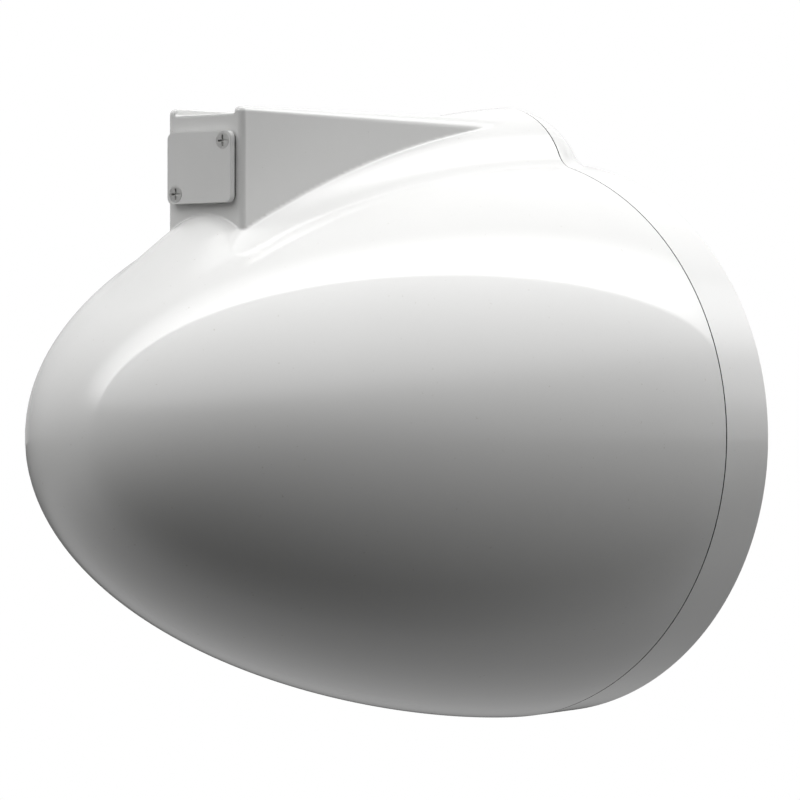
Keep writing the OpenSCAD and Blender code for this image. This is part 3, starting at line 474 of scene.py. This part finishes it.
def gelcoat(name, colour):
    """White gloss moulding: a hard clear surface over a slightly uneven white, with very fine dust specks."""
    material, tree, shader = new_material(name)
    broad = noise(tree, scale=5.0, detail=5.0, roughness=0.6)
    tone = ramp(tree, broad, (LOW_STOP, [c * UNEVEN for c in colour]), (HIGH_STOP, colour))
    specks = noise(tree, scale=420.0, detail=2.0, roughness=0.5)
    mask = ramp(tree, specks, (SPECK_FULL, SPECK), (SPECK_GONE, (1, 1, 1)))
    tint = tree.nodes.new("ShaderNodeMix")
    tint.data_type = "RGBA"
    tint.blend_type = "MULTIPLY"
    tint.inputs[0].default_value = 1.0
    tree.links.new(tone, tint.inputs[6])
    tree.links.new(mask, tint.inputs[7])
    tree.links.new(tint.outputs[2], shader.inputs["Base Color"])
    tree.links.new(lift(tree, broad, 0.0, 1.0, SMOOTHEST, ROUGHEST), shader.inputs["Roughness"])
    shader.inputs["Specular IOR Level"].default_value = 0.3
    shader.inputs["Coat Weight"].default_value = 1.0
    shader.inputs["Coat Roughness"].default_value = 0.035
    shader.inputs["Coat IOR"].default_value = 1.5
    peel = noise(tree, scale=160.0, detail=2.0, roughness=0.45)
    grain(tree, shader, peel, strength=0.06, distance=0.00006)
    return material


MATERIALS = {
    "shell_white": gelcoat("shell_white_gelcoat", (0.86, 0.86, 0.85)),
    "radome_white": gelcoat("radome_white_gelcoat", (0.865, 0.865, 0.855)),
    "plate_white": finish_material(
        "plate_white_moulding", (0.83, 0.83, 0.82), 0.34, spread=0.015, scale=30, bump=0.05,
        coat=0.5, coat_rough=0.12, edge=0.0007),
    "seal_rubber": finish_material(
        "seal_rubber_matt", (0.018, 0.018, 0.018), 0.75, spread=0.3, scale=90, bump=0.3, edge=0.0003),
    "steel": finish_material(
        "stainless_steel", (0.78, 0.78, 0.765), 0.42, metal=1.0, spread=0.05, scale=160, bump=0.1,
        edge=0.00025),
    "aluminium": finish_material(
        "machined_aluminium", (0.72, 0.73, 0.74), 0.36, metal=1.0, spread=0.04, scale=25, bump=0.12,
        stretch=(1, 9, 9)),
    "painted_frame": finish_material(
        "frame_paint", (0.11, 0.12, 0.135), 0.45, spread=0.08, scale=40, bump=0.25, coat=0.15),
    "motor_black": finish_material(
        "motor_paint", (0.03, 0.03, 0.033), 0.42, spread=0.15, scale=60, bump=0.2, coat=0.2),
    "brass": finish_material(
        "turned_brass", (0.70, 0.50, 0.20), 0.28, metal=1.0, spread=0.06, scale=120, bump=0.1),
    "gear_plastic": finish_material(
        "acetal_gear", (0.70, 0.63, 0.46), 0.42, spread=0.03, scale=45, bump=0.08),
    "antenna_laminate": finish_material(
        "antenna_laminate", (0.70, 0.70, 0.66), 0.48, spread=0.03, scale=70, bump=0.18),
    "board_green": finish_material(
        "board_lacquer", (0.012, 0.10, 0.04), 0.32, spread=0.25, scale=150, bump=0.12, coat=0.4),
    "terminal_green": finish_material(
        "terminal_moulding", (0.03, 0.22, 0.09), 0.45, spread=0.08, scale=80, bump=0.12),
    "cable_black": finish_material(
        "cable_sheath", (0.015, 0.015, 0.016), 0.5, spread=0.2, scale=100, bump=0.2),
    "pack_cloth": finish_material(
        "pack_cloth", (0.72, 0.70, 0.62), 0.9, spread=0.08, scale=220, bump=0.6, depth=0.0004, edge=0.001),
}
slot_of = {s["node"]: s["material_slot"] for s in frame["record"]["subparts"]}
for name, obj in frame["nodes"].items():
    obj.data.materials.clear()
    obj.data.materials.append(MATERIALS[slot_of[name]])
RIM_REACH = 0.1  # a rim face lies no further than this past the seam's edge, in mm
SQUARE_ON = 0.9  # and looks along the axis at least this much
for obj, key in ((casing, "shell_white"), (radome, "radome_white")):
    obj.data.materials.clear()
    obj.data.materials.append(MATERIALS[key])
    obj.data.materials.append(MATERIALS["seal_rubber"])
    # The seal is real dark rubber, but giving the shell rims its finish is painted shade: it darkens the
    # joint line in the gap between the skins
    for face in obj.data.polygons:  # the rims that meet at the seam carry the seal's finish
        at_seam = abs(face.center.x + PAD[0] * MM) < (SEAM + RIM_REACH) * MM
        face.material_index = int(at_seam and abs(face.normal.x) > SQUARE_ON)


# ---------------------------------------------------------------- floor, backdrop, light
FLOOR_SIZE, FLOOR_DROP = 60, 0.30  # metres across, and below the pod
FLOOR_SHOWS, FLOOR_WHITE = 0.5, 1.6  # metres out over which the floor fades to plain white for the camera
FLOOR_COLOUR = (0.95, 0.95, 0.95, 1)
FLOOR_GLOW, HORIZON_GLOW = 0.42, 0.25  # the far half's glow, and the share of it left far out
GLOW_FULL, GLOW_LOW = 0.8, 2.2  # metres out over which the glow falls to that share
BACKDROP_SIDE = (0.437, 0.899, 0.034)  # towards the white backdrop, behind the pod
BACKDROP_GLOW = 0.2
EDGE_PLACE = -0.08  # where the far half begins, along that direction
SKY_EDGE, FLOOR_EDGE = 0.012, 0.1  # how soft that edge is
SKY_PEAK = 5.0
# Radiance over (z + 1) / 2, as shares of the peak. Near: dark up to 15 degrees, then a pale ceiling
NEAR_SKY = [(0.0, 0.0), (0.63, 0.0), (0.76, 0.21), (1.0, 0.17)]
FAR_SKY = [(0.0, 0.04), (0.5, 0.05), (0.65, 0.12), (1.0, 0.1)]
FILL_SIDE = (0.95, -0.31, 0.0)  # a broad soft fill stands off the radome's end
FILL_PEAK = 0.67
STRIP_PEAK, STRIP_WIDTH = 5.0, 0.34  # a long soft box along the middle, overhead
STRIP_LOW, STRIP_FULL = 0.3, 0.6  # the heights, as z of the direction, where it starts and is full


def ray(tree, *kinds):
    """1 for the rays named, 0 for the others."""
    path = tree.nodes.new("ShaderNodeLightPath")
    value = path.outputs[kinds[0]]
    for kind in kinds[1:]:
        value = combine(tree, "MAXIMUM", value, path.outputs[kind])
    return value


def along(tree, direction, axis):
    """How far a direction points along an axis."""
    node = tree.nodes.new("ShaderNodeVectorMath")
    node.operation = "DOT_PRODUCT"
    node.inputs[1].default_value = axis
    tree.links.new(direction, node.inputs[0])
    return node.outputs["Value"]


def far_half(tree, direction, softness):
    """1 on the backdrop's side of the pod and 0 on the camera's, with an edge of the given softness."""
    across = along(tree, direction, BACKDROP_SIDE)
    return lift(tree, across, EDGE_PLACE - softness, EDGE_PLACE + softness, 0.0, 1.0)


def sky_level(tree, height, levels):
    """Radiance by height, from a curve over (z + 1) / 2."""
    glow = tree.nodes.new("ShaderNodeFloatCurve")
    curve = glow.mapping.curves[0]
    curve.points[0].location, curve.points[1].location = levels[0], levels[-1]
    for place in levels[1:-1]:
        curve.points.new(*place)
    glow.mapping.update()
    tree.links.new(height, glow.inputs["Value"])
    return combine(tree, "MULTIPLY", glow.outputs["Value"], SKY_PEAK)


axis_z = -FLOOR_Z * MM
floor_z = axis_z - SHELL_R * MM - FLOOR_DROP
bpy.ops.mesh.primitive_grid_add(x_subdivisions=8, y_subdivisions=8, size=FLOOR_SIZE, location=(0, 0, floor_z))
floor = bpy.context.object
floor.name = "floor"
material, tree, shader = new_material("floor_white")
tree.nodes.remove(shader)
place = tree.nodes.new("ShaderNodeTexCoord").outputs["Object"]
length = tree.nodes.new("ShaderNodeVectorMath")
length.operation = "LENGTH"
tree.links.new(place, length.inputs[0])
distance = length.outputs["Value"]
pale = tree.nodes.new("ShaderNodeBsdfDiffuse")
pale.inputs["Color"].default_value = FLOOR_COLOUR
white = tree.nodes.new("ShaderNodeEmission")
fade = lift(tree, distance, FLOOR_SHOWS, FLOOR_WHITE, 0.0, 1.0, "SMOOTHSTEP")
for_camera = mix_shaders(tree, fade, pale.outputs[0], white.outputs[0])
# The floor's far half is pale in the pod's gloss, and the near half lies in the dark of the room
glow = combine(tree, "MULTIPLY", far_half(tree, place, FLOOR_EDGE), FLOOR_GLOW)
glow = combine(tree, "MULTIPLY", glow, lift(tree, distance, GLOW_FULL, GLOW_LOW, 1.0, HORIZON_GLOW))
bounce = tree.nodes.new("ShaderNodeEmission")
tree.links.new(glow, bounce.inputs["Strength"])
seen = mix_shaders(tree, ray(tree, "Is Camera Ray"), bounce.outputs[0], for_camera)
tree.links.new(seen, tree.nodes["Material Output"].inputs["Surface"])
floor.data.materials.append(material)

world = bpy.data.worlds.new("studio")
bpy.context.scene.world = world
world.use_nodes = True
tree = world.node_tree
background = tree.nodes["Background"]
background.inputs["Color"].default_value = (1, 1, 1, 1)
direction = tree.nodes.new("ShaderNodeTexCoord").outputs["Generated"]
parts = tree.nodes.new("ShaderNodeSeparateXYZ")
tree.links.new(direction, parts.inputs[0])
height = parts.outputs["Z"]
far_side = far_half(tree, direction, SKY_EDGE)
up = lift(tree, height, -1.0, 1.0, 0.0, 1.0)
sky = mix_values(tree, far_side, sky_level(tree, up, NEAR_SKY), sky_level(tree, up, FAR_SKY))
fill = lift(tree, along(tree, direction, FILL_SIDE), 0.0, 1.0, 0.0, FILL_PEAK)
# The soft box: brightest at its near edge, which is sharp, and gone at its far edge and near the horizon
across = along(tree, direction, BACKDROP_SIDE)
strip = lift(tree, across, EDGE_PLACE, EDGE_PLACE + STRIP_WIDTH, STRIP_PEAK, 0.0)
strip = combine(tree, "MULTIPLY", strip, lift(tree, height, STRIP_LOW, STRIP_FULL, 0.0, 1.0))
strip = combine(tree, "MULTIPLY", strip, far_side)
lit = combine(tree, "ADD", combine(tree, "ADD", sky, fill), strip)
# Gloss and glass see the pale backdrop on the far side down to the floor
backdrop = combine(tree, "MULTIPLY", far_side, ray(tree, "Is Glossy Ray", "Is Transmission Ray"))
light = combine(tree, "MAXIMUM", lit, combine(tree, "MULTIPLY", backdrop, BACKDROP_GLOW))
# The camera sees plain white
tree.links.new(mix_values(tree, ray(tree, "Is Camera Ray"), light, 1.0), background.inputs["Strength"])

# ---------------------------------------------------------------- camera, as the photograph was taken
HEADING, DISTANCE = math.radians(50.74), 2.8787  # the camera is level, and this many metres from its aim
FOCAL_PX, PICTURE_PX = 5234.0, 800
AIM_ACROSS, AIM_DOWN = 502.3, 437.0  # where the aim, the seam's centre, falls in the picture
SENSOR = 36.0  # mm
ahead = Vector((math.sin(HEADING), math.cos(HEADING), 0.0))
data = bpy.data.cameras.new("camera")
data.sensor_width = SENSOR
data.lens = FOCAL_PX / PICTURE_PX * SENSOR
data.shift_x = -(AIM_ACROSS - PICTURE_PX / 2) / PICTURE_PX
data.shift_y = (AIM_DOWN - PICTURE_PX / 2) / PICTURE_PX
camera = bpy.data.objects.new("camera", data)
bpy.context.scene.collection.objects.link(camera)
camera.location = Vector((-PAD[0] * MM, 0.0, axis_z)) - ahead * DISTANCE
camera.rotation_mode = "QUATERNION"
camera.rotation_quaternion = ahead.to_track_quat("-Z", "Y")
bpy.context.scene.camera = camera
bpy.context.scene.view_settings.view_transform = "Standard"
